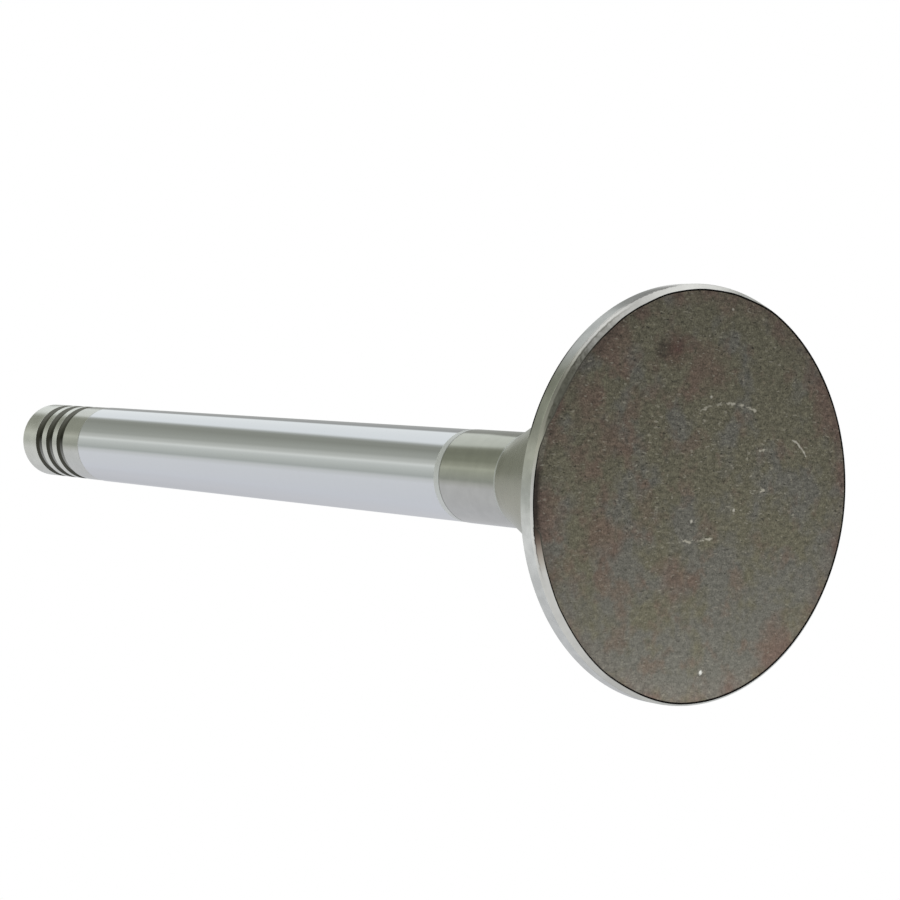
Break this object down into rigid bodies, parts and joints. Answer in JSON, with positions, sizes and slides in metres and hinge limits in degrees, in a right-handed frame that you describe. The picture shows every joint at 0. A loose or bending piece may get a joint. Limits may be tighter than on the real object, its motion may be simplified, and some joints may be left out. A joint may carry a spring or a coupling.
{
  "type": "engine valve",
  "caption": "Poppet valve with a flat disc head, flared neck, chrome plated stem and grooved keeper end.",
  "frame": {"origin": "centre of the combustion face, which lies on z = 0", "axes": "+Z along the stem from the combustion face to the tip; X and Y are equal"},
  "size_m": [0.04, 0.04, 0.1341],
  "materials": {
    "valve_steel": "ground steel with a bright hard chrome stem and a dark forged combustion face"
  },
  "bodies": {
    "root": {"valve": "valve_steel"}
  },
  "joints": []
}
